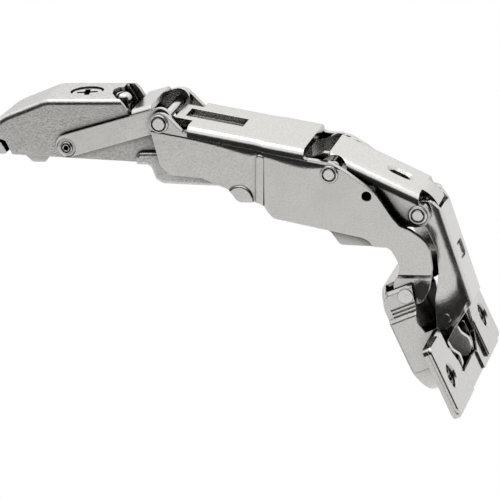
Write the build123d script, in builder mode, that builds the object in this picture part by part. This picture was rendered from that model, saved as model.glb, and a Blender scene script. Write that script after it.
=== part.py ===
from build123d import *
import os
from math import atan2, cos, degrees, hypot, pi, radians, sin, tan

os.makedirs("parts", exist_ok=True)

# Frame: X runs forward along the arm, Y along the pivot pins, Z up from the seat on the mounting
# plate. The arm's rear pivot is above the origin. The hinge stands fully open.

# ---------------------------------------------------------------- driving dimensions (mm)
# pivots in the XZ plane
arm_pivot = (0.0, 4.6)
link_pivot = (25.1, 11.5)
front_pivot = (40.8, -2.0)
centre_pivot = (67.5, -1.1)
knee_pivot = (88.4, -12.5)
cup_pivot_u = -10.8
cup_pivot_depth = 5.5
stud_u = 9.0
stud_depth = 3.4

# cup
cup_centre = (93.94, -40.49)
open_lean = 22.0
cup_diameter = 35.0
cup_depth = 12.0
hole_pitch = 45.0
hole_offset = 9.5
flange_length = 58.6
flange_sheet = 1.0
base_sheet = 1.3
cup_wall = 0.8

# half widths of the nested layers, outside faces
arm_half = 8.5
short_half = 10.1
outer_rear_half = 12.1
outer_front_half = 12.7
outer_cup_half = 11.1
inner_front_half = 8.2
inner_half = 9.4
knee_half = 7.0
cheek_half = 12.4
lower_cheek_half = 13.8

# sheet thicknesses
arm_sheet = 1.6
short_sheet = 1.4
outer_sheet = 1.7
inner_sheet = 1.7
knee_sheet = 1.5
bend_inside = 0.9

# arm
roof_height = 16.6
arm_bend = 1.4
arm_rear = -22.3
arm_front_reach = 18.5

# pins
pin_rear = 1.2
pin_axle = 1.2
pin_front = 1.9
pin_centre = 1.5
pin_knee = 1.5
pin_cup = 1.5
stud_radius = 1.2

# short link, screw and cam
pad_recess = 0.35
screw_head = 4.05
screw_shank = 1.9
cam_shank = 2.0

# clearances
run_fit = 0.05
slide_gap = 0.2
centre_play = 2.1
stud_play = 1.75
seat_gap = 0.02

# ---------------------------------------------------------------- helpers


def corner_radii(points, wanted):
    """Corner radii held to what the two sides of each corner can take."""
    count = len(points)
    used = []
    for i in range(count):
        before = points[i - 1]
        here = points[i]
        after = points[(i + 1) % count]
        side_in = hypot(here[0] - before[0], here[1] - before[1])
        side_out = hypot(after[0] - here[0], after[1] - here[1])
        turn = atan2(after[1] - here[1], after[0] - here[0]) - atan2(here[1] - before[1], here[0] - before[0])
        turn = abs((turn + pi) % (2 * pi) - pi)
        reach = 0.0
        for side, other in ((side_in, wanted[i - 1]), (side_out, wanted[(i + 1) % count])):
            share = 0.98 if other == 0 else 0.49
            reach = side * share if reach == 0.0 else min(reach, side * share)
        if wanted[i] == 0 or turn < 0.02:
            used.append(0)
        else:
            used.append(min(wanted[i], reach / tan(turn / 2)))
    return used


def prism(points, radii, y_low, y_high):
    """Solid with a rounded polygon outline in XZ between two Y stations."""
    with BuildPart() as body:
        with BuildSketch(Plane.XZ.offset(-y_high)):
            with BuildLine():
                FilletPolyline(*points, radius=corner_radii(points, radii), close=True)
            make_face()
        extrude(amount=y_high - y_low)
    return body.part


def disc(centre, radius, y_low, y_high):
    """Round bar along Y."""
    with BuildPart() as body:
        with BuildSketch(Plane.XZ.offset(-y_high)):
            with Locations(centre):
                Circle(radius)
        extrude(amount=y_high - y_low)
    return body.part


def plan(points, z_low, z_high):
    """Solid with a polygon outline in XY between two heights."""
    with BuildPart() as body:
        with BuildSketch(Plane.XY.offset(z_low)):
            with BuildLine():
                Polyline(*points, close=True)
            make_face()
        extrude(amount=z_high - z_low)
    return body.part


def rivet(centre, shank, head, y_outer, head_height, ring=0.0):
    """Pin along Y with a collar on both ends; inside a ring groove the pin's own end stands a little proud."""
    half = y_outer + head_height
    proud = 0.15
    with BuildPart() as body:
        with BuildSketch(Plane.XZ.offset(-half)):
            with Locations(centre):
                Circle(shank)
        extrude(amount=2 * half)
        for side in (-1, 1):
            with BuildSketch(Plane.XZ.offset(-half if side > 0 else y_outer)):
                with Locations(centre):
                    Circle(head)
            extrude(amount=head_height)
        rims = body.edges().filter_by(GeomType.CIRCLE).filter_by(
            lambda e: abs(e.radius - head) < 0.01 and abs(abs(e.center().Y) - half) < 0.01)
        chamfer(rims, head_height * 0.45)
        if ring > 0:
            for side in (-1, 1):
                with BuildSketch(Plane.XZ.offset(-half - proud if side > 0 else half)):
                    with Locations(centre):
                        Circle(ring - 0.2)
                extrude(amount=proud)
                with BuildSketch(Plane.XZ.offset(-half if side > 0 else half - head_height * 0.8)):
                    with Locations(centre):
                        Circle(ring + 0.2)
                        Circle(ring - 0.2, mode=Mode.SUBTRACT)
                extrude(amount=head_height * 0.8, mode=Mode.SUBTRACT)
            ends = body.edges().filter_by(GeomType.CIRCLE).filter_by(
                lambda e: abs(e.radius - ring + 0.2) < 0.01 and abs(abs(e.center().Y) - half - proud) < 0.01)
            chamfer(ends, 0.1)
    return body.part


def trough(side_points, top_line, corner, soft):
    """Block with walls that follow a plan outline under a sloping top, its long edges rounded."""
    outline = [(x, y) for x, y in side_points] + [(x, -y) for x, y in reversed(side_points)]
    last = len(side_points) - 1
    radii = [0 if i in (0, last) else soft for i in range(len(side_points))]
    left = side_points[0][0]
    right = side_points[-1][0]
    with BuildPart() as body:
        with BuildSketch(Plane.XY.offset(-70)):
            with BuildLine():
                FilletPolyline(*outline, radius=radii + radii[::-1], close=True)
            make_face()
        extrude(amount=140)
        with BuildSketch(Plane.XZ.offset(-40)):
            with BuildLine():
                Polyline(
                    (left - 1, top_line(left - 1)), (right + 1, top_line(right + 1)), (right + 1, 90),
                    (left - 1, 90), close=True)
            make_face()
        extrude(amount=80, mode=Mode.SUBTRACT)
        smallest = min(abs(y) for x, y in side_points)
        rims = body.edges().filter_by(
            lambda e: abs(e.center().Z - top_line(e.center().X)) < 0.05 and abs(e.center().Y) > smallest - 0.4)
        fillet(rims, corner)
    return body.part


def along(start, angle, distance, offset=0.0):
    """Point at a distance along a direction from start, and offset to its left."""
    ux = cos(radians(angle))
    uz = sin(radians(angle))
    return (start[0] + distance * ux - offset * uz, start[1] + distance * uz + offset * ux)


def span(first, second):
    return hypot(second[0] - first[0], second[1] - first[1])


def heading(first, second):
    return degrees(atan2(second[1] - first[1], second[0] - first[0]))


def mirrored(body):
    """A solid together with its mirror image across the middle plane."""
    with BuildPart() as pair:
        add(body)
        mirror(about=Plane.XZ)
    return pair.part


# ---------------------------------------------------------------- cup frame
lean = radians(open_lean)
u_axis = Vector(sin(lean), 0, -cos(lean))
out_axis = Vector(cos(lean), 0, sin(lean))
cup_plane = Plane(origin=(cup_centre[0], 0, cup_centre[1]), x_dir=u_axis, z_dir=out_axis)


def in_cup(u, depth):
    """XZ point at a place along the cup and a depth below the wing's face."""
    spot = Vector(cup_centre[0], 0, cup_centre[1]) + u_axis * u - out_axis * depth
    return (spot.X, spot.Z)


cup_pivot = in_cup(cup_pivot_u, cup_pivot_depth)
stud_pivot = in_cup(stud_u, stud_depth)
cup_radius = cup_diameter / 2
cup_floor = cup_depth - cup_wall

# ================================================================ ARM
roof_inside = roof_height - arm_sheet
nose = along(arm_pivot, 40.3, arm_front_reach)
nose_low = along(arm_pivot, 24.0, arm_front_reach)
arm_points = [
    (arm_rear, 7.0), (arm_rear, 30.0), (nose[0] - 7, 30.0), nose_low, (21.0, 9.2), (24.6, 6.6), (24.2, 0.2),
    (-14.8, 2.4), (-16.3, 6.0), (-17.6, 6.4),
]
arm_radii = [0.5, 0, 0, 1.0, 1.0, 0.5, 0.8, 0.5, 0.6, 0.5]
roof_line = [
    (arm_rear, -10), (arm_rear, 7.9), (-16.6, 12.2), (-5.0, roof_height), (40.0, roof_height), (40.0, -10)]
arm_block = prism(roof_line, [0, 0, 14.0, 6.0, 0, 0], -arm_half, arm_half)
with BuildPart() as arm_outer:
    add(arm_block)
    long_edges = arm_outer.edges().filter_by(
        lambda e: abs(abs(e.center().Y) - arm_half) < 0.01 and e.center().Z > 7.95)
    fillet(long_edges, arm_bend)
    add(prism(arm_points, arm_radii, -arm_half - 1, arm_half + 1), mode=Mode.INTERSECT)
    # front of the roof: an arc about the rear pivot that leaves room for the short link's web
    with BuildSketch(Plane.XZ):
        with BuildLine():
            n1 = Line(nose, (nose[0] - 3, 30))
            n2 = Line(n1 @ 1, (60, 30))
            n3 = Line(n2 @ 1, (60, nose_low[1]))
            Line(n3 @ 1, nose_low)
            CenterArc(arm_pivot, arm_front_reach, 24.0, 16.3)
        make_face()
    extrude(amount=30, both=True, mode=Mode.SUBTRACT)
arm_core = prism(
    [(arm_rear - 4, -18), (arm_rear - 4, 3.3), (-16.1, 10.6), (-4.6, roof_inside), (50, roof_inside), (50, -18)],
    [0, 0, 12.4, 4.4, 0, 0], -arm_half + arm_sheet, arm_half - arm_sheet)
# front pivot arms: the side walls step outwards behind the round pad and run on to the front pivot
ext_outer = short_half
ext_inner = arm_half - 0.1
ext_low = front_pivot[1] - 3.2
extension_points = [
    (17.8, 0.2), (17.8, 3.4), (24.0, 3.4), (27.5, 4.6), (42.6, 1.3), (44.3, -2.4), (43.6, ext_low - 0.1),
    (36.0, ext_low), (24.4, -4.7), (22.5, -3.6), (21.6, -0.5), (20.6, 0.15)]
with BuildPart() as ext_pair:
    add(prism(extension_points, [0.3, 2.8, 1.5, 2.0, 2.6, 2.2, 2.6, 3.0, 1.4, 1.2, 1.6, 0.8], ext_inner, ext_outer))
    pad_rim = ext_pair.edges().filter_by(
        lambda e: abs(e.center().Y - ext_outer) < 0.01 and e.center().X < 24.2 and e.center().Z > 0.6)
    fillet(pad_rim, 0.8)
    mirror(about=Plane.XZ)
screw_spot = (3.6, 0.0)
cam_spot = (12.8, 0.0)
with BuildPart() as arm_channel:
    add(arm_outer.part)
    add(arm_core, mode=Mode.SUBTRACT)
    add(ext_pair.part)
    # seat for the side screw, and the open front of the roof round the depth cam
    with BuildSketch(Plane.XY.offset(roof_inside - 1)):
        with Locations(screw_spot):
            Circle(screw_head + slide_gap)
        with BuildLine():
            FilletPolyline(
                (30, -7.5), (13.4, -7.5), (10.8, -2.3), (10.2, 1.5), (10.8, 3.2), (12.2, 3.4), (12.2, 6.9), (30, 6.9),
                radius=[0, 0.6, 1.0, 1.2, 0.6, 0.5, 0.3, 0], close=True)
        make_face()
    extrude(amount=6, mode=Mode.SUBTRACT)
    # holes for the rear rivet, the front pin and the lever pin
    with BuildSketch(Plane.XZ):
        with Locations(arm_pivot):
            Circle(pin_rear)
        with Locations(front_pivot):
            Circle(pin_front)
    extrude(amount=30, both=True, mode=Mode.SUBTRACT)
arm_channel.part.label = "arm_channel"
export_step(arm_channel.part, "parts/arm_channel.step")

# clip rail: the inner channel of the arm that takes the mounting plate
rail_half = arm_half - arm_sheet - slide_gap
rail_sheet = 1.2
rail_top = 11.2
lever_pivot = (-14.6, 7.2)
lever_pin_radius = 0.9
rail_block = prism(
    [(-16.6, 5.4), (-16.6, 8.4), (-11.5, 10.5), (-8.5, rail_top), (13.6, rail_top), (14.6, rail_top - 1.5),
     (14.6, 0.9), (10.5, 0.9), (9.3, 3.4), (7.9, 3.4), (6.4, 0.9), (-12.5, 1.9), (-13.6, 4.6)],
    [0.8, 1.4, 2.0, 1.5, 1.0, 1.0, 0.5, 0.5, 0.6, 0.6, 0.5, 0.8, 1.0], -rail_half, rail_half)
rail_core = prism(
    [(-20, -5), (-20, rail_top - rail_sheet), (30, rail_top - rail_sheet), (30, -5)],
    [0, 0, 0, 0], -rail_half + rail_sheet, rail_half - rail_sheet)
with BuildPart() as clip_rail:
    add(rail_block)
    rail_edges = clip_rail.edges().filter_by(Axis.X).filter_by(
        lambda e: abs(e.center().Z - rail_top) < 0.01)
    fillet(rail_edges, 1.3)
    add(rail_core, mode=Mode.SUBTRACT)
    with BuildSketch(Plane.XZ):
        with Locations(arm_pivot):
            Circle(pin_rear)
        with Locations(lever_pivot):
            Circle(lever_pin_radius)
    extrude(amount=30, both=True, mode=Mode.SUBTRACT)
    with BuildSketch(Plane.XY.offset(rail_top - 3)):
        with Locations(screw_spot):
            Circle(screw_shank + 2 * run_fit)
        with Locations(cam_spot):
            Circle(cam_shank + 2 * run_fit)
    extrude(amount=6, mode=Mode.SUBTRACT)
    # ends of the side walls stand up beside the depth cam; the far one reaches the roof's opening
    add(prism([(9.5, 9.0), (9.5, 14.7), (13.7, 14.7), (15.3, 12.2), (15.3, 9.0), (14.6, 9.0)],
              [0, 0.6, 0.4, 0.5, 0.3, 0], -rail_half, -rail_half + rail_sheet))
    add(prism([(9.5, 9.0), (9.5, 14.7), (12.45, 14.7), (12.45, 16.5), (12.8, 16.5), (15.3, 12.2), (15.3, 9.0),
               (14.6, 9.0)],
              [0, 0.6, 0, 0, 0.3, 0.5, 0.3, 0], rail_half - rail_sheet, rail_half))
clip_rail.part.label = "clip_rail"
export_step(clip_rail.part, "parts/clip_rail.step")

# side adjusting screw with a cross recess, in a threaded block
screw_top = roof_height - 0.35
with BuildPart() as side_screw:
    with BuildSketch(Plane.XY.offset(rail_top - 4.0)):
        with Locations(screw_spot):
            Circle(screw_shank)
    extrude(amount=screw_top - 1.9 - (rail_top - 4.0))
    with BuildSketch(Plane.XY.offset(screw_top - 2.0)):
        with Locations(screw_spot):
            Circle(screw_head)
    extrude(amount=2.0)
    head_rim = side_screw.edges().filter_by(GeomType.CIRCLE).filter_by(
        lambda e: abs(e.radius - screw_head) < 0.01 and abs(e.center().Z - screw_top) < 0.01)
    fillet(head_rim, 0.4)
    with BuildSketch(Plane.XY.offset(screw_top - 1.7)):
        with Locations(screw_spot):
            Rectangle(5.2, 1.3, rotation=12)
            Rectangle(1.3, 5.2, rotation=12)
            Rectangle(2.3, 2.3, rotation=57)
    extrude(amount=2.0, mode=Mode.SUBTRACT)
side_screw.part.label = "side_screw"
export_step(side_screw.part, "parts/side_screw.step")

with BuildPart() as screw_block:
    with BuildSketch(Plane.XY.offset(rail_top - rail_sheet - 3.2)):
        with Locations(screw_spot):
            RectangleRounded(6.4, 9.0, 0.8)
            Circle(screw_shank + run_fit, mode=Mode.SUBTRACT)
    extrude(amount=3.2)
screw_block.part.label = "screw_block"
export_step(screw_block.part, "parts/screw_block.step")

# depth adjusting cam: domed head on a short shaft with an eccentric disc below
cam_radius = 2.3
cam_head = 4.7
with BuildPart() as depth_cam:
    with BuildSketch(Plane.XY.offset(rail_top - 4.4)):
        with Locations((cam_spot[0] - 0.7, 0)):
            Circle(3.0)
    extrude(amount=2.0)
    with BuildSketch(Plane.XY.offset(rail_top - 2.4)):
        with Locations(cam_spot):
            Circle(cam_shank)
    extrude(amount=2.8)
    with BuildSketch(Plane.XY.offset(rail_top + 0.3)):
        with Locations(cam_spot):
            Circle(cam_radius)
    extrude(amount=cam_head)
    cam_rim = depth_cam.edges().filter_by(GeomType.CIRCLE).filter_by(
        lambda e: abs(e.radius - cam_radius) < 0.01 and abs(e.center().Z - rail_top - 0.3 - cam_head) < 0.01)
    fillet(cam_rim, 1.7)
    with BuildSketch(Plane.XY.offset(rail_top + cam_head - 0.7)):
        with Locations(cam_spot):
            Rectangle(6.0, 0.7, rotation=60)
    extrude(amount=2.0, mode=Mode.SUBTRACT)
depth_cam.part.label = "depth_cam"
export_step(depth_cam.part, "parts/depth_cam.step")

# rear rivet: hollow, through the short link, the arm and the rail
with BuildPart() as rear_rivet:
    add(rivet(arm_pivot, pin_rear - run_fit, 1.55, short_half - pad_recess + seat_gap, 0.5, 1.1))
    with BuildSketch(Plane.XZ):
        with Locations(arm_pivot):
            Circle(0.6)
    extrude(amount=30, both=True, mode=Mode.SUBTRACT)
    mouths = rear_rivet.edges().filter_by(GeomType.CIRCLE).filter_by(
        lambda e: abs(e.radius - 0.6) < 0.01)
    chamfer(mouths, 0.15)
rear_rivet.part.label = "rear_rivet"
export_step(rear_rivet.part, "parts/rear_rivet.step")

front_pin = rivet(front_pivot, pin_front - run_fit, 2.4, ext_outer + seat_gap, 0.2)
front_pin.label = "front_pin"
export_step(front_pin, "parts/front_pin.step")

# clip lever: rear button, two side legs and the hook under the arm
lever_outer = rail_half - rail_sheet - slide_gap
lever_plate = prism(
    [(-16.2, 8.4), (-13.2, 8.8), (-12.5, 5.6), (-9.6, 3.4), (-6.3, 3.0), (-5.9, 1.2), (-7.2, -0.5), (-10.6, -0.5),
     (-12.2, 1.2), (-15.2, 2.6), (-18.4, 2.8), (-18.4, 5.2)],
    [1.2, 1.4, 2.5, 1.5, 0.8, 0.5, 0.9, 1.6, 1.2, 1.2, 0.8, 0.8], lever_outer - 1.2, lever_outer)
button = prism(
    [(-21.9, 6.1), (-17.6, 5.6), (-15.9, 2.5), (-21.2, 2.5), (-22.0, 3.6)],
    [0.6, 0.6, 0.5, 0.9, 0.8], -arm_half + 0.1, arm_half - 0.1)
hook = prism(
    [(-11.4, 0.9), (-6.6, 1.4), (-7.4, -0.5), (-10.6, -0.5)],
    [0.5, 0.5, 0.8, 0.9], -lever_outer, lever_outer)
with BuildPart() as clip_lever:
    add(mirrored(lever_plate))
    add(button)
    add(hook)
    with BuildSketch(Plane.XZ):
        with Locations(lever_pivot):
            Circle(lever_pin_radius + run_fit)
    extrude(amount=30, both=True, mode=Mode.SUBTRACT)
clip_lever.part.label = "clip_lever"
export_step(clip_lever.part, "parts/clip_lever.step")

lever_pin = disc(lever_pivot, lever_pin_radius, -rail_half + 0.05, rail_half - 0.05)
lever_pin.label = "lever_pin"
export_step(lever_pin, "parts/lever_pin.step")

# lever spring: wire coil on the lever pin with two legs
spring_wire = 0.3
with BuildPart() as lever_spring:
    with BuildLine() as coil_path:
        Helix(pitch=0.9, height=2.7, radius=lever_pin_radius + spring_wire + 0.03,
              center=(lever_pivot[0], -1.35, lever_pivot[1]), direction=(0, 1, 0))
    coil_start = coil_path.line @ 0
    coil_run = coil_path.line % 0
    with BuildSketch(Plane(origin=coil_start, z_dir=coil_run)):
        Circle(spring_wire)
    sweep()
lever_spring.part.label = "lever_spring"
export_step(lever_spring.part, "parts/lever_spring.step")

# ================================================================ SHORT LINK
short_angle = heading(arm_pivot, link_pivot)
short_length = span(arm_pivot, link_pivot)
web_start = arm_front_reach + 0.75
web_end = short_length - 1.6
short_inner = short_half - short_sheet
bar_top = 3.35
web_top = 4.5
short_points = [
    along(arm_pivot, short_angle, -2.3, -2.5), along(arm_pivot, short_angle, -2.3, bar_top),
    along(arm_pivot, short_angle, short_length + 2.6, bar_top),
    along(arm_pivot, short_angle, short_length + 2.6, -2.5),
]
short_radii = [2.4, 2.4, 2.6, 2.3]
web_box = [
    along(arm_pivot, short_angle, web_start, -1), along(arm_pivot, short_angle, web_start, web_top),
    along(arm_pivot, short_angle, web_end, web_top), along(arm_pivot, short_angle, web_end, -1)]
web_hollow = [
    along(arm_pivot, short_angle, -9, -9), along(arm_pivot, short_angle, -9, web_top - short_sheet),
    along(arm_pivot, short_angle, 40, web_top - short_sheet), along(arm_pivot, short_angle, 40, -9)]
with BuildPart() as short_web:
    add(prism(web_box, [0, 0, 0, 0], -short_half, short_half))
    web_mid = along(arm_pivot, short_angle, (web_start + web_end) / 2, web_top)
    web_rims = short_web.edges().filter_by(
        lambda e: abs(abs(e.center().Y) - short_half) < 0.01 and abs(e.center().Z - web_mid[1]) < 0.1)
    fillet(web_rims, 1.9)
with BuildPart() as short_hollow:
    add(prism(web_hollow, [0, 0, 0, 0], -short_inner, short_inner))
with BuildPart() as short_link:
    add(prism(short_points, short_radii, -short_half, short_half))
    add(short_web.part)
    add(short_hollow.part, mode=Mode.SUBTRACT)
    with BuildSketch(Plane.XZ.offset(-short_inner)):
        with BuildLine():
            Polyline(*(web_hollow[:2] + [along(arm_pivot, short_angle, -9, 20),
                     along(arm_pivot, short_angle, web_start, 20), along(arm_pivot, short_angle, web_start, -9)]),
                     close=True)
        make_face()
        with BuildLine():
            Polyline(along(arm_pivot, short_angle, web_end, 20), along(arm_pivot, short_angle, 50, 20),
                     along(arm_pivot, short_angle, 50, -9), along(arm_pivot, short_angle, web_end, -9),
                     close=True)
        make_face()
    extrude(amount=2 * short_inner, mode=Mode.SUBTRACT)
    # recessed round pad about the rear rivet
    for side in (-1, 1):
        with BuildSketch(Plane.XZ.offset(-short_half - 1 if side > 0 else short_half - pad_recess)):
            with Locations(arm_pivot):
                Circle(2.45)
        extrude(amount=1 + pad_recess, mode=Mode.SUBTRACT)
    with BuildSketch(Plane.XZ):
        with Locations(arm_pivot):
            Circle(pin_rear)
        with Locations(link_pivot):
            Circle(pin_axle + run_fit)
    extrude(amount=30, both=True, mode=Mode.SUBTRACT)
short_link.part.label = "short_link"
export_step(short_link.part, "parts/short_link.step")

# ================================================================ OUTER CHANNEL
web_lean = -11.1
web_ref = (28.6, 11.3)
web_left = 27.3
web_right = 61.2
web_edge = 32.0


def on_web(x, drop=0.0):
    return (x, web_ref[1] + (x - web_ref[0]) * tan(radians(web_lean)) - drop / cos(radians(web_lean)))


# the right edge of the neck runs parallel to the cup's floor once the door is shut
shut_turn = 13.2
neck_reach = cup_floor - 0.4 - cup_pivot_depth


def on_neck(z_rise):
    dx = (neck_reach + z_rise * sin(radians(shut_turn))) / cos(radians(shut_turn))
    return (cup_pivot[0] + dx, cup_pivot[1] + z_rise)


neck_top = on_neck(13.0)
neck_mid = on_neck(7.0)
neck_low = on_neck(1.0)
outer_points = [
    (22.5, 11.2), (24.2, 13.4), (26.9, 13.6), (28.2, 12.3), (31.3, 8.9), (32.0, 9.4), (32.0, 20.0),
    (web_right, 20.0), (web_right, 2.75), (67.8, 1.8), (71.6, -0.6), (75.1, -3.3), (78.6, -6.0), (80.3, -8.6),
    (82.5, -12.2),
    (84.4, -14.5), (86.8, -15.5), (89.2, -17.2), (neck_top[0] - 2.0, neck_top[1] + 0.2), (neck_mid[0], neck_mid[1]),
    neck_low, (cup_pivot[0] + 3.8, cup_pivot[1] - 2.4), (cup_pivot[0] - 2.6, cup_pivot[1] - 2.6),
    (cup_pivot[0] - 3.2, cup_pivot[1] + 2.8),
    (84.3, -25.3), (82.0, -20.7), (81.0, -19.9), (77.5, -19.7), (76.4, -18.2), (74.9, -17.4), (52.8, -12.6),
    (51.4, -11.0), (49.9, -8.6), (44.0, -8.5), (42.0, -5.6), (35.1, -2.5), (26.8, -1.7), (24.5, 0.8),
]
outer_radii = [
    1.0, 0.5, 0.5, 1.5, 0.7, 0.3, 0.0,
    0.0, 0.6, 2.5, 6.0, 4.0, 6.0, 4.0, 5.0,
    2.0, 3.0, 5.0, 5.0, 5.0,
    2.2, 2.6, 2.6,
    3.0,
    4.0, 2.0, 1.5, 1.0, 1.5, 2.0, 1.5,
    2.5, 2.0, 2.0, 3.0, 4.0, 1.8, 2.0,
]
rear_inner = outer_rear_half - outer_sheet
front_inner = outer_front_half - outer_sheet
cup_end_inner = outer_cup_half - outer_sheet + 0.1
joggle_x = 49.2
joggle_run = 1.9
bead_height = 0.3
cup_joggle_z = cup_pivot[1] + 5.9
joggle_drop = 1.7

outer_sides = [
    (web_edge, outer_rear_half), (joggle_x, outer_rear_half), (joggle_x + joggle_run, outer_front_half),
    (web_right + 1, outer_front_half)]
core_sides = [
    (web_edge - 2, rear_inner), (joggle_x, rear_inner), (joggle_x + joggle_run, front_inner),
    (web_right + 2, front_inner)]
outer_outline = prism(outer_points, outer_radii, -outer_front_half - 1, outer_front_half + 1)
with BuildPart() as outer_solid:
    add(trough(outer_sides, lambda x: on_web(x)[1], outer_sheet + bend_inside, 4.5))
    # plain ears in front of the web
    with BuildSketch(Plane.YZ.offset(web_edge)):
        Rectangle(2 * outer_rear_half, 60)
    extrude(amount=-15)
    # beyond the web only the side walls go on
    with BuildSketch(Plane.YZ.offset(web_right + 1)):
        with Locations((0, -20)):
            Rectangle(2 * outer_front_half, 60)
    extrude(amount=40)
    add(outer_outline, mode=Mode.INTERSECT)
    add(disc(link_pivot, 2.75, -outer_rear_half, outer_rear_half))
with BuildPart() as outer_core:
    add(trough(core_sides, lambda x: on_web(x, outer_sheet)[1], bend_inside, 4.5))
    with BuildSketch(Plane.YZ.offset(web_right)):
        Rectangle(2 * front_inner, 160)
    extrude(amount=60)
    with BuildSketch(Plane.YZ.offset(web_edge)):
        Rectangle(2 * rear_inner, 160)
    extrude(amount=-40)
# stepped section at the cup end: the walls come inwards to enter the cup
step_top = cup_joggle_z
step_low = cup_joggle_z - joggle_drop
cup_end = []
for side in (-1, 1):
    with BuildPart() as stepped_wall:
        with BuildSketch(Plane.YZ.offset(75)):
            with BuildLine():
                Polyline(
                    (side * outer_front_half, step_top + 1), (side * outer_front_half, step_top - 0.2),
                    (side * outer_cup_half, step_low), (side * outer_cup_half, -60),
                    (side * cup_end_inner, -60), (side * cup_end_inner, step_low + 0.4),
                    (side * front_inner, step_top + 0.2), (side * front_inner, step_top + 1), close=True)
            make_face()
        extrude(amount=30)
        add(outer_outline, mode=Mode.INTERSECT)
    cup_end.append(stepped_wall.part)
with BuildPart() as bump:
    add(disc((44.4, -7.7), 3.4, outer_rear_half - 0.6, outer_rear_half + 0.5))
    bump_rims = bump.edges().filter_by(GeomType.CIRCLE).filter_by(
        lambda e: abs(e.center().Y - outer_rear_half - 0.5) < 0.02)
    fillet(bump_rims, 0.45)
    add(outer_outline, mode=Mode.INTERSECT)
with BuildPart() as bead:
    add(prism([(49.4, 3.9), (51.3, 3.5), (50.2, -12.0), (48.3, -12.0)], [0.8, 0.8, 0, 0],
              outer_rear_half - 0.4, outer_front_half + bead_height))
    bead_rims = bead.edges().filter_by(lambda e: abs(e.center().Y - outer_front_half - bead_height) < 0.02)
    fillet(bead_rims, 0.3)
    add(outer_outline, mode=Mode.INTERSECT)
with BuildPart() as outer_channel:
    add(outer_solid.part)
    add(outer_core.part, mode=Mode.SUBTRACT)
    # remove the wide walls below the step and put the stepped walls there
    with BuildSketch(Plane.XY.offset(step_top + 0.6)):
        with Locations((95, 0)):
            Rectangle(40, 60)
    extrude(amount=-60, mode=Mode.SUBTRACT)
    for wall in cup_end:
        add(wall)
    # tongue of the web between the two ears
    add(prism([on_web(web_left), on_web(34), on_web(34, outer_sheet), on_web(web_left, outer_sheet)],
              [0.3, 0, 0, 0.3], -6.0, 6.0))
    # access slot
    with BuildSketch(Plane.XY.offset(0)):
        with Locations(((29.6 + 44.1) / 2, 0)):
            Rectangle(44.1 - 29.6, 6.5)
    extrude(amount=30, mode=Mode.SUBTRACT)
    # embossed bump low on each rear wall
    add(mirrored(bump.part))
    # pressed bead down the step between the narrow and the wide part
    add(mirrored(bead.part))
    with BuildSketch(Plane.XZ):
        with Locations(link_pivot):
            Circle(pin_axle)
        with Locations(centre_pivot):
            Circle(pin_centre)
        with Locations(cup_pivot):
            Circle(pin_cup + run_fit)
        with Locations((76.5, -6.7)):
            Circle(1.25)
    extrude(amount=30, both=True, mode=Mode.SUBTRACT)
outer_channel.part.label = "outer_channel"
export_step(outer_channel.part, "parts/outer_channel.step")

link_axle = rivet(link_pivot, pin_axle, 2.3, outer_rear_half + seat_gap, 0.5, 1.75)
link_axle.label = "link_axle"
export_step(link_axle, "parts/link_axle.step")

centre_rivet = rivet(centre_pivot, pin_centre, 2.2, outer_front_half + seat_gap, 0.4, 1.6)
centre_rivet.label = "centre_rivet"
export_step(centre_rivet, "parts/centre_rivet.step")

for side, name in ((-1, "near"), (1, "far")):
    low = inner_half + 0.25
    high = front_inner - 0.03
    with BuildPart() as centre_sleeve:
        with BuildSketch(Plane.XZ.offset(-high if side > 0 else low)):
            with Locations(centre_pivot):
                Circle(2.7)
                Circle(pin_centre + seat_gap, mode=Mode.SUBTRACT)
        extrude(amount=high - low)
    centre_sleeve.part.label = "centre_sleeve_" + name
    export_step(centre_sleeve.part, "parts/centre_sleeve_" + name + ".step")

# ================================================================ INNER CHANNEL
inner_lean = -26.2
inner_ref = (67.0, 3.25)


def on_inner(x, drop=0.0):
    return (x, inner_ref[1] + (x - inner_ref[0]) * tan(radians(inner_lean)) - drop / cos(radians(inner_lean)))


inner_web_left = 66.9
inner_web_right = 88.7
inner_points = [
    (front_pivot[0] - 3.6, front_pivot[1] + 3.5), (front_pivot[0] + 1.0, front_pivot[1] + 3.7), (62.5, 1.9),
    (65.6, on_inner(65.6)[1] - 0.5), (inner_web_left, on_inner(inner_web_left)[1]), (inner_web_left, 20),
    (inner_web_right, 20), (inner_web_right, on_inner(inner_web_right)[1] - 2.4), (90.8, -10.0), (91.5, -12.4),
    (90.6, -15.2), (87.8, -15.7), (85.6, -15.4), (80.5, -19.0), (78.5, -20.7), (68.5, -20.3), (66.2, -16.9),
    (52.0, -10.3), (front_pivot[0] + 1.0, front_pivot[1] - 3.5), (front_pivot[0] - 3.6, front_pivot[1] - 3.5),
]
inner_radii = [3.3, 3.0, 4.0, 0.5, 0.0, 0.0, 0.0, 0.8, 1.5, 2.0, 2.4, 2.4, 2.5, 2.0, 1.5, 1.5, 2.5, 6.0, 3.4, 3.3]
ramp_x = 56.0
ramp_run = 2.2
inner_front_inner = inner_front_half - inner_sheet + 0.1
inner_inner = inner_half - inner_sheet
inner_outline_plan = [
    (30, -inner_front_half), (ramp_x, -inner_front_half), (ramp_x + ramp_run, -inner_half), (110, -inner_half),
    (110, inner_half), (ramp_x + ramp_run, inner_half), (ramp_x, inner_front_half), (30, inner_front_half),
]
inner_core_plan = [
    (20, -inner_front_inner), (ramp_x + 0.5, -inner_front_inner), (ramp_x + ramp_run + 0.5, -inner_inner),
    (120, -inner_inner), (120, inner_inner), (ramp_x + ramp_run + 0.5, inner_inner),
    (ramp_x + 0.5, inner_front_inner), (20, inner_front_inner),
]
inner_top = [
    (inner_web_left, -70), on_inner(inner_web_left), on_inner(inner_web_right), (inner_web_right, -70)]
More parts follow.
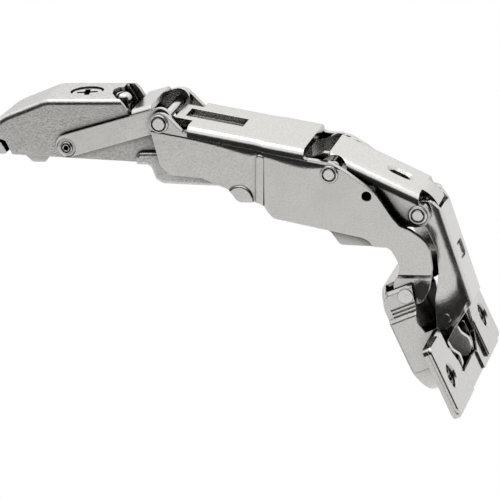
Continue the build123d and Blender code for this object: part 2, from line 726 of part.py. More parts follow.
inner_hollow = [
    (inner_web_left - 5, -75), on_inner(inner_web_left - 5, inner_sheet),
    on_inner(inner_web_right + 5, inner_sheet), (inner_web_right + 5, -75)]
inner_outline = prism(inner_points, inner_radii, -inner_half - 1, inner_half + 1)
with BuildPart() as inner_roof:
    add(prism(inner_top, [0, 0, 0, 0], -inner_half, inner_half))
    inner_rims = inner_roof.edges().filter_by(
        lambda e: abs(abs(e.center().Y) - inner_half) < 0.01 and abs(e.center().X - 77.8) < 0.5
        and e.center().Z > -20)
    fillet(inner_rims, inner_sheet + bend_inside)
with BuildPart() as inner_hollow_block:
    add(prism(inner_hollow, [0, 0, 0, 0], -inner_inner, inner_inner))
    hollow_rims = inner_hollow_block.edges().filter_by(
        lambda e: abs(abs(e.center().Y) - inner_inner) < 0.01 and abs(e.center().X - 77.8) < 0.5
        and e.center().Z > -20)
    fillet(hollow_rims, bend_inside)
with BuildPart() as inner_solid:
    # side walls in front of and behind the web
    add(plan(inner_outline_plan, -60, 30))
    with BuildSketch(Plane.XY.offset(-80)):
        with Locations(((inner_web_left + inner_web_right) / 2, 0)):
            Rectangle(inner_web_right - inner_web_left, 60)
    extrude(amount=160, mode=Mode.SUBTRACT)
    add(inner_roof.part)
    add(inner_outline, mode=Mode.INTERSECT)
with BuildPart() as inner_core:
    add(plan(inner_core_plan, -90, 70))
    with BuildSketch(Plane.XY.offset(-100)):
        with Locations(((inner_web_left + inner_web_right) / 2, 0)):
            Rectangle(inner_web_right - inner_web_left, 60)
    extrude(amount=200, mode=Mode.SUBTRACT)
    add(inner_hollow_block.part)
web_slot_plane = Plane(
    origin=(82.7, 0, on_inner(82.7)[1]), x_dir=(cos(radians(inner_lean)), 0, sin(radians(inner_lean))),
    z_dir=(-sin(radians(inner_lean)), 0, cos(radians(inner_lean))))
tab_half = 4.2
window_length = 5.4
window_width = 2.9
window_rim = 1.0
window_sink = 0.6
tab_root = on_inner(inner_web_right - 1.5)
tab_root_low = on_inner(inner_web_right - 1.5, inner_sheet)
with BuildPart() as inner_channel:
    add(inner_solid.part)
    add(inner_core.part, mode=Mode.SUBTRACT)
    # window in the web: a narrow slot with its rim pressed in all round
    with BuildSketch(web_slot_plane.offset(1)):
        RectangleRounded(window_length, window_width, window_width / 2 - 0.1)
    extrude(amount=-5, mode=Mode.SUBTRACT)
    with BuildSketch(web_slot_plane.offset(0.01)):
        RectangleRounded(window_length + 2 * window_rim, window_width + 2 * window_rim, window_width / 2 + 0.9)
    with BuildSketch(web_slot_plane.offset(-window_sink)):
        RectangleRounded(window_length, window_width, window_width / 2 - 0.1)
    loft(mode=Mode.SUBTRACT)
    # curled tab at the web's end
    with BuildSketch(Plane.XZ.offset(-tab_half)):
        with BuildLine():
            t1 = Line(tab_root, on_inner(inner_web_right))
            t2 = TangentArc(t1 @ 1, (92.6, -11.6), tangent=t1 % 1)
            t3 = Line(t2 @ 1, (91.2, -11.6))
            t4 = TangentArc(t3 @ 1, on_inner(inner_web_right, inner_sheet), tangent=(0.05, 1))
            Line(t4 @ 1, tab_root_low)
            Line(tab_root_low, tab_root)
        make_face()
    extrude(amount=2 * tab_half)
    # pivots: the front pin and the knee rivet fit, the centre hole is the opened pivot with play
    with BuildSketch(Plane.XZ):
        with Locations(front_pivot):
            Circle(pin_front)
        with Locations(knee_pivot):
            Circle(pin_knee)
        with Locations((centre_pivot[0] + 0.1, centre_pivot[1] - 0.1)):
            Circle(pin_centre + centre_play)
    extrude(amount=30, both=True, mode=Mode.SUBTRACT)
inner_channel.part.label = "inner_channel"
export_step(inner_channel.part, "parts/inner_channel.step")

knee_rivet = rivet(knee_pivot, pin_knee, 2.35, inner_half + seat_gap, 0.4, 1.6)
knee_rivet.label = "knee_rivet"
export_step(knee_rivet, "parts/knee_rivet.step")

for side, name in ((-1, "near"), (1, "far")):
    low = knee_half + 0.1
    high = inner_inner - 0.03
    with BuildPart() as knee_sleeve:
        with BuildSketch(Plane.XZ.offset(-high if side > 0 else low)):
            with Locations(knee_pivot):
                Circle(2.5)
                Circle(pin_knee + seat_gap, mode=Mode.SUBTRACT)
        extrude(amount=high - low)
    knee_sleeve.part.label = "knee_sleeve_" + name
    export_step(knee_sleeve.part, "parts/knee_sleeve_" + name + ".step")

# ================================================================ CUP LINK
knee_dir = (cos(radians(-74.2)), sin(radians(-74.2)))
knee_ref = (94.0, -13.4)
knee_angle = -74.2


def on_knee(run, drop=0.0):
    """Point on the cup link's web, run measured down it and drop behind it."""
    return along(knee_ref, knee_angle, run, -drop)


knee_points = [
    on_knee(-0.7), on_knee(23.4), (95.8, -42.4), (93.6, -46.3), (94.7, -48.3), (96.6, -49.7), (97.3, -52.2),
    (96.4, -54.5), (93.6, -54.4), (91.3, -51.2), (91.1, -35.1), (92.3, -29.0), (92.2, -22.0), (89.6, -16.0),
    (85.6, -15.2), (85.4, -9.6), (91.0, -9.6),
]
knee_radii = [1.4, 0.0, 6.0, 1.5, 1.0, 1.5, 1.8, 1.6, 1.6, 3.0, 6.0, 6.0, 6.0, 2.0, 2.6, 2.6, 2.0]
knee_inner = knee_half - knee_sheet
knee_block = [on_knee(-30.0), on_knee(60.0), (40, -90), (40, 20)]
knee_outline = prism(knee_points, knee_radii, -knee_half - 1, knee_half + 1)
with BuildPart() as knee_solid:
    add(prism(knee_block, [0, 0, 0, 0], -knee_half, knee_half))
    knee_rims = knee_solid.edges().filter_by(
        lambda e: abs(abs(e.center().Y) - knee_half) < 0.01 and e.center().X > 85 and e.length > 50)
    fillet(knee_rims, knee_sheet + bend_inside)
    add(knee_outline, mode=Mode.INTERSECT)
knee_window = Plane(
    origin=(on_knee(11.0)[0], 0, on_knee(11.0)[1]), x_dir=(knee_dir[0], 0, knee_dir[1]),
    z_dir=(-knee_dir[1], 0, knee_dir[0]))
with BuildPart() as cup_link:
    add(knee_solid.part)
    add(prism(
        [on_knee(-20, knee_sheet), on_knee(24.0, knee_sheet), (80, -80), (60, -80), (60, 20)],
        [0, 0, 0, 0, 0], -knee_inner, knee_inner), mode=Mode.SUBTRACT)
    with BuildSketch(Plane.XZ.offset(-knee_inner)):
        with BuildLine():
            Polyline(on_knee(24.0), (120, -37.5), (120, -90), (60, -90), on_knee(24.0, knee_sheet), close=True)
        make_face()
    extrude(amount=2 * knee_inner, mode=Mode.SUBTRACT)
    # window with a tongue that stays joined at its lower end and stands a little below the web
    with BuildSketch(knee_window.offset(1)):
        RectangleRounded(4.4, 5.4, 0.7)
    extrude(amount=-4, mode=Mode.SUBTRACT)
    with BuildSketch(knee_window.offset(-0.5)):
        with Locations((0.55, 0.35)):
            Rectangle(3.5, 3.9)
    extrude(amount=-(knee_sheet - 0.5))
    with BuildSketch(Plane.XZ):
        with Locations(knee_pivot):
            Circle(pin_knee + run_fit)
        with Locations(stud_pivot):
            Circle(stud_radius)
    extrude(amount=30, both=True, mode=Mode.SUBTRACT)
    # room for the inner channel's curled tab
    with BuildSketch(Plane.XY.offset(-12.4)):
        with Locations((94, 0)):
            Rectangle(8, 2 * tab_half + 1.0)
    extrude(amount=8, mode=Mode.SUBTRACT)
    # dimple and shallow dish in the lower walls
    add(mirrored(disc((93.6, -40.0), 1.2, knee_half - 0.1, knee_half + 0.35)))
cup_link.part.label = "cup_link"
export_step(cup_link.part, "parts/cup_link.step")

# studs of the cup link: the opened pivot in the cup, free in the bearing plates' pockets
stud_tip = 9.6
for side, name in ((-1, "near"), (1, "far")):
    with BuildPart() as link_stud:
        with BuildSketch(Plane.XZ.offset(-stud_tip if side > 0 else knee_inner)):
            with Locations(stud_pivot):
                Circle(stud_radius - 0.01)
        extrude(amount=stud_tip - knee_inner)
    link_stud.part.label = "link_stud_" + name
    export_step(link_stud.part, "parts/link_stud_" + name + ".step")

# ================================================================ CUP
far_u = cup_radius + 0.2
near_u = -0.6
wing_half = flange_length / 2
cheek_split = -5.6
cheek_front = 8.0
foot_step = 0.8


def cup_region(points, half):
    """Block across the cup from an outline given as (u, depth) points."""
    return prism([in_cup(u, d) for u, d in points], [0] * len(points), -half, half)


opening_front = 13.6
rear_flat = 14.7
with BuildPart() as pocket_block:
    with BuildSketch(cup_plane.offset(-flange_sheet - base_sheet)):
        Circle(cup_radius - cup_wall - 0.5)
    extrude(amount=-(cup_floor - flange_sheet - base_sheet))
    floor_rim = pocket_block.edges().filter_by(
        lambda e: abs(cup_plane.to_local_coords(e.center()).Z + cup_floor) < 0.01)
    fillet(floor_rim, 1.0)
    with BuildSketch(cup_plane.offset(1)):
        Circle(cup_radius - cup_wall - 0.5)
        with Locations((opening_front + 10, 0)):
            Rectangle(20, 60, mode=Mode.SUBTRACT)
    extrude(amount=-(1 + flange_sheet + base_sheet + 0.2))
    with BuildSketch(cup_plane.offset(2)):
        with Locations((-rear_flat + cup_wall - 10, 0)):
            Rectangle(20, 60)
        for side in (-1, 1):
            with BuildLine():
                Polyline(
                    (-45, side * (cheek_half - 1.0)), (cheek_split - 1.6, side * (cheek_half - 1.0)),
                    (cheek_split, side * (lower_cheek_half - cup_wall)),
                    (50, side * (lower_cheek_half - cup_wall)), (50, side * 40), (-45, side * 40), close=True)
            make_face()
    extrude(amount=-20, mode=Mode.SUBTRACT)
with BuildPart() as cup_pot:
    # drawn pot: round, flattened where the cheeks are
    with BuildSketch(cup_plane.offset(-flange_sheet)) as pot_outline:
        Circle(cup_radius)
        with Locations((-rear_flat - 10, 0)):
            Rectangle(20, 60, mode=Mode.SUBTRACT)
        fillet(pot_outline.vertices(), 6.0)
    extrude(amount=-(cup_depth - flange_sheet))
    foot_rim = cup_pot.edges().filter_by(
        lambda e: abs(cup_plane.to_local_coords(e.center()).Z + cup_depth) < 0.01)
    fillet(foot_rim, 2.6)
    with BuildSketch(cup_plane.offset(2)):
        for side in (-1, 1):
            with BuildLine():
                Polyline(
                    (-45, side * cheek_half), (cheek_split - 0.9, side * cheek_half),
                    (cheek_split - 0.1, side * (lower_cheek_half - 0.4)),
                    (50, side * (lower_cheek_half - 0.4)), (50, side * 40), (-45, side * 40), close=True)
            make_face()
    extrude(amount=-20, mode=Mode.SUBTRACT)
    # round wall stepped in below the wings, in front of the cheeks
    with BuildSketch(cup_plane.offset(-flange_sheet - base_sheet)):
        Circle(cup_radius + 3)
        Circle(cup_radius - foot_step, mode=Mode.SUBTRACT)
        with Locations((cheek_front + 0.2 - 25, 0)):
            Rectangle(50, 60, mode=Mode.SUBTRACT)
    extrude(amount=-cup_depth, mode=Mode.SUBTRACT)
    # raised lower cheeks
    for side in (-1, 1):
        with BuildSketch(cup_plane.offset(-flange_sheet - 1)):
            with Locations(((cheek_split + cheek_front) / 2, side * (lower_cheek_half - 0.9))):
                Rectangle(cheek_front - cheek_split, 1.8)
        extrude(amount=-(cup_depth - flange_sheet - 1.5))
    # flange base with its two wings
    with BuildSketch(cup_plane.offset(-flange_sheet)):
        with BuildLine():
            FilletPolyline(
                (near_u, -wing_half), (far_u + 1.1, -wing_half), (far_u + 1.1, wing_half), (near_u, wing_half),
                radius=[1.6, 2.2, 2.2, 1.6], close=True)
        make_face()
    extrude(amount=-base_sheet)
    add(pocket_block.part, mode=Mode.SUBTRACT)
    # rounded lip at the opening's front edge
    lip = cup_pot.edges().filter_by(
        lambda e: abs(cup_plane.to_local_coords(e.center()).Z + flange_sheet) < 0.01
        and abs(cup_plane.to_local_coords(e.center()).X - opening_front) < 0.05 and e.length > 5)
    fillet(lip, 1.1)
    # shallow seat across the front bridge for the cup link when the door is shut
    add(cup_region([(opening_front - 1, 0.5), (far_u + 3, 0.5), (far_u + 3, 1.5), (opening_front - 1, 1.5)], 7.8),
        mode=Mode.SUBTRACT)
    # walls lowered behind the wings to the ears of the cup pin
    add(cup_region([(-30, -4), (near_u - 0.1, -4), (near_u - 0.1, 4.4), (-4.0, 5.2), (-12.6, 3.0), (-30, 1.0)], 30),
        mode=Mode.SUBTRACT)
    # gap in the rear wall for the channels, deeper where the outer channel's ends swing
    add(cup_region([(-30, 0), (-9.0, 0), (-9.0, 6.2), (-30, 6.2)], cheek_half - 1.0), mode=Mode.SUBTRACT)
    for side in (-1, 1):
        with BuildSketch(cup_plane.offset(-2)):
            with Locations((-17.5, side * (outer_cup_half + cup_end_inner) / 2)):
                Rectangle(15, 2.3)
        extrude(amount=-(9.9 - 2), mode=Mode.SUBTRACT)
    # grooves across the upper cheeks
    for groove in range(3):
        for side in (-1, 1):
            with BuildSketch(cup_plane.offset(-3.0)):
                with Locations((-8.6 + 0.95 * groove, side * (cheek_half + 0.05))):
                    Rectangle(0.4, 0.6)
            extrude(amount=-7.5, mode=Mode.SUBTRACT)
    # holes: cup pin, and cross-shaped screw holes under the wings' countersinks
    with BuildSketch(Plane.XZ):
        with Locations(cup_pivot):
            Circle(pin_cup)
    extrude(amount=30, both=True, mode=Mode.SUBTRACT)
    with BuildSketch(cup_plane.offset(0)):
        with Locations((hole_offset, hole_pitch / 2), (hole_offset, -hole_pitch / 2)):
            Circle(1.8)
            Rectangle(5.0, 1.5, rotation=45)
            Rectangle(5.0, 1.5, rotation=-45)
    extrude(amount=-4, mode=Mode.SUBTRACT)
cup_pot.part.label = "cup_pot"
export_step(cup_pot.part, "parts/cup_pot.step")

# wing plates: one on each side, countersunk
for side, name in ((-1, "near"), (1, "far")):
    with BuildPart() as wing:
        with BuildSketch(cup_plane):
            with BuildLine():
                FilletPolyline(
                    (near_u, side * wing_half), (far_u, side * wing_half), (far_u, side * 13.1),
                    (8.0, side * 13.1), (3.6, side * 15.9), (near_u, side * 19.7),
                    radius=[1.6, 1.6, 0.3, 2.0, 2.0, 0.5], close=True)
            make_face()
            with Locations((hole_offset, side * hole_pitch / 2)):
                Circle(2.9, mode=Mode.SUBTRACT)
        extrude(amount=-(flange_sheet - seat_gap))
        sinks = wing.edges().filter_by(GeomType.CIRCLE).filter_by(
            lambda e: abs(e.radius - 2.9) < 0.01 and abs(cup_plane.to_local_coords(e.center()).Z) < 0.01)
        chamfer(sinks, 0.5)
        wing_rim = wing.edges().filter_by(
            lambda e: abs(cup_plane.to_local_coords(e.center()).Z) < 0.01
            and abs(cup_plane.to_local_coords(e.center()).Y) > 21
            and abs(cup_plane.to_local_coords(e.center()).X - hole_offset) > 5)
        fillet(wing_rim, 0.55)
    wing.part.label = "wing_plate_" + name
    export_step(wing.part, "parts/wing_plate_" + name + ".step")

cup_pin = rivet(cup_pivot, pin_cup, 1.95, cheek_half + seat_gap, 0.22)
cup_pin.label = "cup_pin"
export_step(cup_pin, "parts/cup_pin.step")

# closing spring: a bent leaf with its foot on the pot's floor, its rear end under the cup pin and its
# front end rising under the cup link's studs
leaf = 0.7
leaf_half = 4.5
leaf_floor = cup_floor - seat_gap
leaf_top = cup_pivot_depth + pin_cup + 0.05
with BuildPart() as closing_spring:
    with BuildSketch(Plane.XZ.offset(-leaf_half)):
        with BuildLine():
            FilletPolyline(
                in_cup(-12.2, leaf_top), in_cup(-10.1, leaf_top), in_cup(-7.0, leaf_floor - leaf),
                in_cup(4.6, leaf_floor - leaf), in_cup(8.3, 8.3), in_cup(8.8, 8.8), in_cup(4.9, leaf_floor),
                in_cup(-7.35, leaf_floor), in_cup(-10.4, leaf_top + leaf), in_cup(-12.2, leaf_top + leaf),
                radius=[0, 0.5, 0.8, 0.8, 0.2, 0.2, 1.4, 1.4, 1.1, 0], close=True)
        make_face()
    extrude(amount=2 * leaf_half)
closing_spring.part.label = "closing_spring"
export_step(closing_spring.part, "parts/closing_spring.step")

# bearing plates with the pockets for the cup link's studs
for side, name in ((-1, "near"), (1, "far")):
    with BuildPart() as bearing:
        with BuildSketch(cup_plane.offset(-1.5)):
            with Locations((9.6, side * 9.1)):
                Rectangle(7.6, 3.0)
            Circle(cup_radius - cup_wall - 1.3, mode=Mode.INTERSECT)
        extrude(amount=-(cup_floor - 1.5 - seat_gap))
        bearing_edges = bearing.edges().filter_by(
            lambda e: abs(cup_plane.to_local_coords(e.center()).Z + 1.5) < 0.01)
        fillet(bearing_edges, 0.6)
    pocket = disc(in_cup(stud_u - 1.5, stud_depth - 0.3), stud_radius + stud_play,
                  -9.9 if side < 0 else 7.0, -7.0 if side < 0 else 9.9)
    with BuildPart() as bearing_plate:
        add(bearing.part)
        add(pocket, mode=Mode.SUBTRACT)
    bearing_plate.part.label = "bearing_plate_" + name
    export_step(bearing_plate.part, "parts/bearing_plate_" + name + ".step")
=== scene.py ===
import bpy
from mathutils import Matrix, Vector

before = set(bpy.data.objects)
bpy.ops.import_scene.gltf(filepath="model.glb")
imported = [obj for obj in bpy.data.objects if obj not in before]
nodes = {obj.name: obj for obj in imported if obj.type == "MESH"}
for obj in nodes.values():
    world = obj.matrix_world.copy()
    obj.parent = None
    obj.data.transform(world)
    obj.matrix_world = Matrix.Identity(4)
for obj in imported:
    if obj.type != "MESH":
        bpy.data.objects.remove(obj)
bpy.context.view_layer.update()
scene = bpy.context.scene
scene.view_settings.view_transform = "Standard"

# ------------------------------------------------------------------ sizes, in metres
camera_place = (0.24996, -0.78900, 0.23693)
camera_right = (0.9703, 0.2329, -0.0656)
camera_back = (0.2417, -0.9209, 0.3058)
lens_length = 244.8  # mm, on a sensor of sensor_width
sensor_width = 36.0
clip_near = 0.01
clip_far = 50.0

edge_radius = 0.00022  # rounded edges of the sheet, and the width of their painted highlight
relief_depth = 0.00004  # grain of the plate
# reach of the painted shade in the hollows and along the seams
hollow_reach = 0.010
seam_reach = 0.0007
slow_scale = 120.0  # patches of shine, per metre

# outer channel: the roll of the side walls starts here and follows the web's slope
roll_start = (0.0320, 0.0080)
roll_slope = -0.196
roll_length = 0.036
roll_width = 0.0042
roll_tilt = 0.24
# its width along the channel, as shares of roll_length and roll_width; none at the joggle
roll_widths = [(0.0, 0.10), (0.25, 0.22), (0.44, 0.55), (0.53, 0.12), (0.78, 0.75), (0.96, 0.15)]
# cup link: the lower walls flare out
dish_top = -0.0330
dish_middle = 0.0915
dish_bow = 140.0
dish_length = 0.0105
dish_height = 0.00155
# painted shade on the outer channel's tip
tip_centre = (0.0889, -0.0316)
tip_reach = (0.0032, 0.0032)

floor_size = 12.0
floor_front = -1.20
floor_height = -0.26
floor_middle = floor_front + floor_size / 2
shadow_end = 0.10  # behind this, the floor turns into the white background
white_start = 0.35
left_dark = -1.6
left_plain = -0.5
softbox_size = (0.9, 0.6)
softbox_place = (0.0, 0.1, 0.9)
softbox_power = 1.6

# ------------------------------------------------------------------ colours and levels
nickel = (0.78, 0.77, 0.745)
polished = (0.82, 0.81, 0.79)
blued_steel = (0.42, 0.41, 0.40)
leaf_steel = (0.66, 0.65, 0.63)
stud_tint = (0.70, 0.69, 0.67)
# colour of the painted shade on the outer channel's tip
tip_shade_colour = (0.020, 0.020, 0.021, 1.0)
white = (1.0, 1.0, 1.0, 1.0)

speck_stops = (0.34, 0.50, 0.64)  # noise levels of the dark, plain and light grains
light_speck = 0.45  # a light grain's share of a dark one's depth
edge_highlight = 1.12  # brightness of the painted highlight on an edge
edge_highlight_from, edge_highlight_to = 0.995, 0.80
# levels of the painted shade in hollows and seams: occlusion from, occlusion to, least share of colour left
seam_shade = (0.45, 0.85, 0.22)
open_shade = (0.30, 0.88, 0.06)
inner_shade = (0.60, 0.93, 0.06)
cup_side_shade = (0.05, 0.62, 0.60)
leaf_shade = (0.05, 0.45, 0.50)
dull_metal = 0.15  # metallic share on the faces that look into a channel
side_from, side_to = 0.80, 0.95  # how squarely a face looks sideways

# rim, raggedness and cover of the painted shade on the outer channel's tip
tip_shade_rim = (0.45, 1.30)
tip_shade_ragged = 1.6
tip_shade_cover = 0.97

# the first level is painted shade: the paper's grey on the far left, beyond the lamp's reach
paper_shaded_left = 0.66
paper_plain = 0.90
paper_rough = 0.9
near_white = 0.88  # white share of the floor under the object; the rest keeps the shadow
mirror_white = 0.40  # white share that metal sees in the far floor

room_dark = 0.97  # how far the room in front is darkened
wall_low = 0.80  # level of the wall behind, near the floor


def scaled(colour, factor):
    return tuple(min(1.0, c * factor) for c in colour)


# ------------------------------------------------------------------ camera
back = Vector(camera_back).normalized()
up = back.cross(Vector(camera_right).normalized()).normalized()
right = up.cross(back).normalized()
lens = bpy.data.cameras.new("Camera")
lens.sensor_width = sensor_width
lens.sensor_fit = "HORIZONTAL"
lens.lens = lens_length
lens.clip_start = clip_near
lens.clip_end = clip_far
camera = bpy.data.objects.new("Camera", lens)
scene.collection.objects.link(camera)
place = Matrix((right, up, back)).transposed().to_4x4()
place.translation = Vector(camera_place)
camera.matrix_world = place
scene.camera = camera

# ------------------------------------------------------------------ node helpers


def put(tree, kind, **values):
    """A new node with its settings and the values of its inputs."""
    node = tree.nodes.new(kind)
    for key, value in values.items():
        if hasattr(node, key) and key not in node.inputs:
            setattr(node, key, value)
        else:
            node.inputs[key].default_value = value
    return node


def ramp(tree, source, stops):
    """A colour ramp; a stop is a level and a colour or a grey."""
    node = tree.nodes.new("ShaderNodeValToRGB")
    points = node.color_ramp.elements
    while len(points) < len(stops):
        points.new(0.5)
    for point, (spot, colour) in zip(points, stops):
        point.position = spot
        point.color = (*colour, 1.0) if isinstance(colour, tuple) else (colour, colour, colour, 1.0)
    tree.links.new(source, node.inputs["Fac"])
    return node


def spread(tree, source, low, high, from_low=0.3, from_high=0.7, interpolation="LINEAR"):
    """The source's range from_low to from_high, spread over low to high."""
    node = tree.nodes.new("ShaderNodeMapRange")
    node.interpolation_type = interpolation
    node.inputs["From Min"].default_value = from_low
    node.inputs["From Max"].default_value = from_high
    node.inputs["To Min"].default_value = low
    node.inputs["To Max"].default_value = high
    tree.links.new(source, node.inputs["Value"])
    return node.outputs["Result"]


def soft_step(tree, source, low, high):
    """0 below low, 1 above high, smooth between them."""
    return spread(tree, source, 0.0, 1.0, low, high, "SMOOTHSTEP")


def maths(tree, kind, first, second=0.0, clamp=False):
    """A maths node; first and second are numbers or outputs."""
    node = tree.nodes.new("ShaderNodeMath")
    node.operation = kind
    node.use_clamp = clamp
    for socket, value in zip(node.inputs, (first, second)):
        if isinstance(value, (int, float)):
            socket.default_value = value
        else:
            tree.links.new(value, socket)
    return node.outputs["Value"]


def mixed(tree, factor, first, colour):
    """The output first, turned into a fixed colour by factor."""
    node = tree.nodes.new("ShaderNodeMix")
    node.data_type = "RGBA"
    node.inputs["B"].default_value = colour
    tree.links.new(factor, node.inputs["Factor"])
    tree.links.new(first, node.inputs["A"])
    return node.outputs["Result"]


def coordinates(tree, kind):
    """The texture coordinates of a kind, and their X, Y and Z."""
    spot = tree.nodes.new("ShaderNodeTexCoord")
    axes = tree.nodes.new("ShaderNodeSeparateXYZ")
    tree.links.new(spot.outputs[kind], axes.inputs["Vector"])
    return spot.outputs[kind], axes.outputs


def two_shaders(tree, factor, first, second):
    """The shader first, turned into second by factor."""
    node = tree.nodes.new("ShaderNodeMixShader")
    tree.links.new(factor, node.inputs["Fac"])
    tree.links.new(first, node.inputs[1])
    tree.links.new(second, node.inputs[2])
    return node.outputs["Shader"]


# ------------------------------------------------------------------ forms and shades


def hollow(tree, reach, low, high, least):
    """Painted shade: 1 on open faces, falling to least where the space in front is closed in within reach.
    """
    node = put(tree, "ShaderNodeAmbientOcclusion", Distance=reach, samples=8)
    return spread(tree, node.outputs["AO"], least, 1.0, low, high)


def oval(tree, axes, centre, reach, ragged):
    """The cover of the painted shade in an oval in XZ about centre, with a ragged rim."""
    across = maths(tree, "DIVIDE", maths(tree, "SUBTRACT", axes["X"], centre[0]), reach[0])
    along = maths(tree, "DIVIDE", maths(tree, "SUBTRACT", axes["Z"], centre[1]), reach[1])
    far = maths(tree, "ADD", maths(tree, "POWER", across, 2.0), maths(tree, "POWER", along, 2.0))
    wobble = maths(tree, "MULTIPLY", maths(tree, "SUBTRACT", ragged, 0.5), tip_shade_ragged)
    outside = soft_step(tree, maths(tree, "ADD", far, wobble), *tip_shade_rim)
    return maths(tree, "MULTIPLY", maths(tree, "SUBTRACT", 1.0, outside), tip_shade_cover)


def web_roll(tree, axes):
    """Height of the outer channel's side walls just below their bend: the pressing leaves them rolled in."""
    below = maths(tree, "SUBTRACT", roll_start[1], axes["Z"])
    run = maths(tree, "SUBTRACT", axes["X"], roll_start[0])
    below = maths(tree, "ADD", below, maths(tree, "MULTIPLY", run, roll_slope))
    share = ramp(tree, maths(tree, "DIVIDE", run, roll_length), roll_widths)
    share.color_ramp.interpolation = "B_SPLINE"
    width = maths(tree, "MULTIPLY", share.outputs["Color"], roll_width)
    left = maths(tree, "SUBTRACT", 1.0, maths(tree, "DIVIDE", below, width), clamp=True)
    depth = maths(tree, "MULTIPLY", width, -0.5 * roll_tilt)
    return maths(tree, "MULTIPLY", maths(tree, "POWER", left, 2.0), depth)


def dish(tree, axes):
    """Height of the cup link's side walls: they flare out towards the studs."""
    side = maths(tree, "SUBTRACT", axes["X"], dish_middle)
    bow = maths(tree, "MULTIPLY", maths(tree, "MULTIPLY", side, side), dish_bow)
    top = maths(tree, "ADD", dish_top, bow)
    down = maths(tree, "DIVIDE", maths(tree, "SUBTRACT", top, axes["Z"]), dish_length, clamp=True)
    return maths(tree, "MULTIPLY", maths(tree, "POWER", down, 2.0), dish_height)


def plated(name, tint, rough, grain, bump, patch=0.03, speck=0.14, shade=open_shade,
           form=None, tip_shade=None, dull_inside=False):
    """Nickel plate on pressed steel: fine grain, slow patches of shine, softly rounded edges with a painted
    highlight, and painted shade in the hollows and along the seams.
    """
    material = bpy.data.materials.new(name)
    material.use_nodes = True
    tree = material.node_tree
    shader = tree.nodes["Principled BSDF"]
    shader.inputs["Metallic"].default_value = 1.0
    spot, axes = coordinates(tree, "Object")
    fine = put(tree, "ShaderNodeTexNoise", Scale=grain, Detail=3.0, Roughness=0.6)
    slow = put(tree, "ShaderNodeTexNoise", Scale=slow_scale, Detail=2.0, Roughness=0.5)
    tree.links.new(spot, fine.inputs["Vector"])
    tree.links.new(spot, slow.inputs["Vector"])
    grains = (scaled(tint, 1.0 - speck), tint, scaled(tint, 1.0 + speck * light_speck))
    plate = ramp(tree, fine.outputs["Fac"], list(zip(speck_stops, grains))).outputs["Color"]
    # painted shade on the outer channel's tip
    if tip_shade is not None:
        plate = mixed(tree, oval(tree, axes, *tip_shade, fine.outputs["Fac"]), plate, tip_shade_colour)
    # painted highlight on the edges: where the rounded normal leaves the flat one
    soft = put(tree, "ShaderNodeBevel", Radius=edge_radius, samples=6)
    flat = tree.nodes.new("ShaderNodeNewGeometry")
    dot = tree.nodes.new("ShaderNodeVectorMath")
    dot.operation = "DOT_PRODUCT"
    tree.links.new(soft.outputs["Normal"], dot.inputs[0])
    tree.links.new(flat.outputs["Normal"], dot.inputs[1])
    edge_highlight_share = spread(tree, dot.outputs["Value"], 1.0, 0.0, edge_highlight_to, edge_highlight_from)
    plate = mixed(tree, edge_highlight_share, plate, (*scaled(tint, edge_highlight), 1.0))
    # painted shade: the plate is darkened in the hollows and along the seams
    broad = hollow(tree, hollow_reach, *shade)
    seam = hollow(tree, seam_reach, *seam_shade)
    closed = maths(tree, "MULTIPLY", broad, seam)
    dim = tree.nodes.new("ShaderNodeVectorMath")
    dim.operation = "SCALE"
    tree.links.new(plate, dim.inputs[0])
    tree.links.new(closed, dim.inputs["Scale"])
    tree.links.new(dim.outputs["Vector"], shader.inputs["Base Color"])
    shine = spread(tree, slow.outputs["Fac"], rough - patch, rough + patch)
    tree.links.new(shine, shader.inputs["Roughness"])
    # 1 on a side wall's outer face, -1 on its inner face
    facing = tree.nodes.new("ShaderNodeSeparateXYZ")
    tree.links.new(flat.outputs["True Normal"], facing.inputs["Vector"])
    outward = maths(tree, "MULTIPLY", facing.outputs["Y"], maths(tree, "SIGN", axes["Y"]))
    if dull_inside:
        inward = soft_step(tree, maths(tree, "MULTIPLY", outward, -1.0), side_from, side_to)
        tree.links.new(spread(tree, inward, 1.0, dull_metal, 0.0, 1.0), shader.inputs["Metallic"])
    normal = soft.outputs["Normal"]
    if form is not None:
        sideways = soft_step(tree, outward, side_from, side_to)
        press = put(tree, "ShaderNodeBump", Strength=1.0, Distance=1.0)
        tree.links.new(maths(tree, "MULTIPLY", form(tree, axes), sideways), press.inputs["Height"])
        tree.links.new(normal, press.inputs["Normal"])
        normal = press.outputs["Normal"]
    relief = put(tree, "ShaderNodeBump", Strength=bump, Distance=relief_depth)
    tree.links.new(fine.outputs["Fac"], relief.inputs["Height"])
    tree.links.new(normal, relief.inputs["Normal"])
    tree.links.new(relief.outputs["Normal"], shader.inputs["Normal"])
    return material


# ------------------------------------------------------------------ materials: tint, roughness, grain, bump
outer_tint = scaled(nickel, 0.96)
cup_tint = scaled(nickel, 0.92)
sheet = plated("sheet_nickel", nickel, 0.15, 2600, 0.30)
outer_sheet = plated("outer_nickel", outer_tint, 0.15, 2600, 0.40, form=web_roll,
                     tip_shade=(tip_centre, tip_reach))
inner_sheet = plated("inner_nickel", nickel, 0.15, 2600, 0.30, shade=inner_shade)
link_sheet = plated("cup_link_nickel", nickel, 0.13, 2400, 0.35, shade=cup_side_shade, form=dish,
                    dull_inside=True)
arm_sheet = plated("arm_nickel", outer_tint, 0.26, 2200, 0.85, speck=0.25)
bright = plated("bright_nickel", polished, 0.12, 3200, 0.10)
cup_sheet = plated("cup_nickel", cup_tint, 0.13, 2600, 0.18)
spring = plated("spring_steel", blued_steel, 0.30, 4000, 0.2)
stud_steel = plated("stud_nickel", stud_tint, 0.15, 3200, 0.10, shade=cup_side_shade, dull_inside=True)
leaf = plated("leaf_spring_steel", leaf_steel, 0.30, 3000, 0.2, shade=leaf_shade)

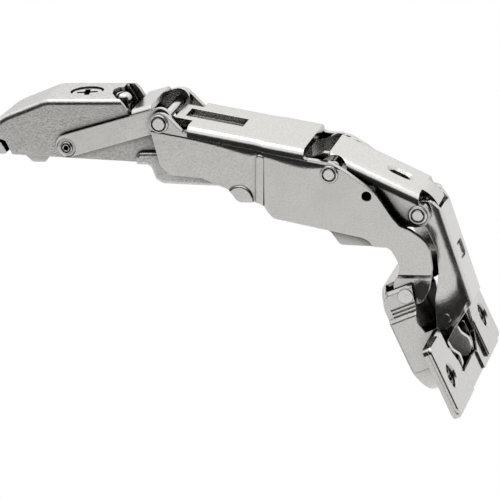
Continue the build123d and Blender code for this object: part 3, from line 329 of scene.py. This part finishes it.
looks = {
    "arm_channel": arm_sheet, "clip_rail": arm_sheet, "clip_lever": sheet, "screw_block": arm_sheet,
    "cup_pot": cup_sheet, "wing_plate_near": cup_sheet, "wing_plate_far": cup_sheet,
    "outer_channel": outer_sheet, "inner_channel": inner_sheet, "cup_link": link_sheet,
    "lever_spring": spring, "closing_spring": leaf,
    "link_stud_near": stud_steel, "link_stud_far": stud_steel,
}
turned = ("pin", "rivet", "axle", "stud", "sleeve", "screw", "cam")
for name, node in nodes.items():
    look = looks.get(name)
    if look is None:
        look = bright if any(word in name for word in turned) else sheet
    if not node.data.materials:
        node.data.materials.append(look)
    for slot in range(len(node.data.materials)):
        node.data.materials[slot] = look

# ------------------------------------------------------------------ room
world = bpy.data.worlds.new("Room")
scene.world = world
world.use_nodes = True
tree = world.node_tree
tree.nodes.clear()
_, axes = coordinates(tree, "Generated")
# dark in front of the object, up to the light roof; behind it a wall that is greyer near the floor
front = soft_step(tree, maths(tree, "MULTIPLY", axes["Y"], -1.0), -0.10, 0.30)
below_roof = maths(tree, "SUBTRACT", 1.0, soft_step(tree, axes["Z"], 0.62, 0.80))
dark = maths(tree, "MULTIPLY", maths(tree, "MULTIPLY", front, room_dark), below_roof)
rise = maths(tree, "MULTIPLY", soft_step(tree, axes["Z"], 0.24, 0.40), 1.0 - wall_low)
level = maths(tree, "MULTIPLY", maths(tree, "SUBTRACT", 1.0, dark), maths(tree, "ADD", wall_low, rise))
lit = put(tree, "ShaderNodeBackground", Color=white)
tree.links.new(level, lit.inputs["Strength"])
plain = put(tree, "ShaderNodeBackground", Color=white, Strength=1.0)
path = tree.nodes.new("ShaderNodeLightPath")
to_camera = path.outputs["Is Camera Ray"]
surface = two_shaders(tree, to_camera, lit.outputs["Background"], plain.outputs["Background"])
out = tree.nodes.new("ShaderNodeOutputWorld")
tree.links.new(surface, out.inputs["Surface"])

# floor
bpy.ops.mesh.primitive_plane_add(size=floor_size, location=(0.0, floor_middle, floor_height))
floor = bpy.context.object
floor.name = "floor"
paper = bpy.data.materials.new("paper")
paper.use_nodes = True
tree = paper.node_tree
diffuse = tree.nodes["Principled BSDF"]
diffuse.inputs["Roughness"].default_value = paper_rough
glow = put(tree, "ShaderNodeEmission", Color=white, Strength=1.0)
path = tree.nodes.new("ShaderNodeLightPath")
_, axes = coordinates(tree, "Object")
# painted shade: the paper is greyer to the left, beyond the lamp's reach
left = soft_step(tree, axes["X"], left_dark, left_plain)
grey = ramp(tree, left, [(0.0, paper_shaded_left), (1.0, paper_plain)])
tree.links.new(grey.outputs["Color"], diffuse.inputs["Base Color"])
# the far floor is the white background; the floor under the object keeps its shadow
beyond = soft_step(tree, axes["Y"], shadow_end - floor_middle, white_start - floor_middle)
seen_white = maths(tree, "ADD", maths(tree, "MULTIPLY", beyond, 1.0 - near_white), near_white)
seen = maths(tree, "MULTIPLY", path.outputs["Is Camera Ray"], seen_white)
mirrored = maths(tree, "ADD", path.outputs["Is Glossy Ray"], path.outputs["Is Transmission Ray"], clamp=True)
# the painted shade to the left also dims the white that metal sees in the floor
mirror = maths(tree, "MULTIPLY", maths(tree, "MULTIPLY", beyond, left), mirror_white)
share = maths(tree, "ADD", seen, maths(tree, "MULTIPLY", mirrored, mirror), clamp=True)
surface = two_shaders(tree, share, diffuse.outputs["BSDF"], glow.outputs["Emission"])
tree.links.new(surface, tree.nodes["Material Output"].inputs["Surface"])
floor.data.materials.append(paper)

# softbox over the object
light = bpy.data.lights.new("softbox", "AREA")
light.shape = "RECTANGLE"
light.size, light.size_y = softbox_size
light.energy = softbox_power
lamp = bpy.data.objects.new("softbox", light)
scene.collection.objects.link(lamp)
lamp.location = softbox_place
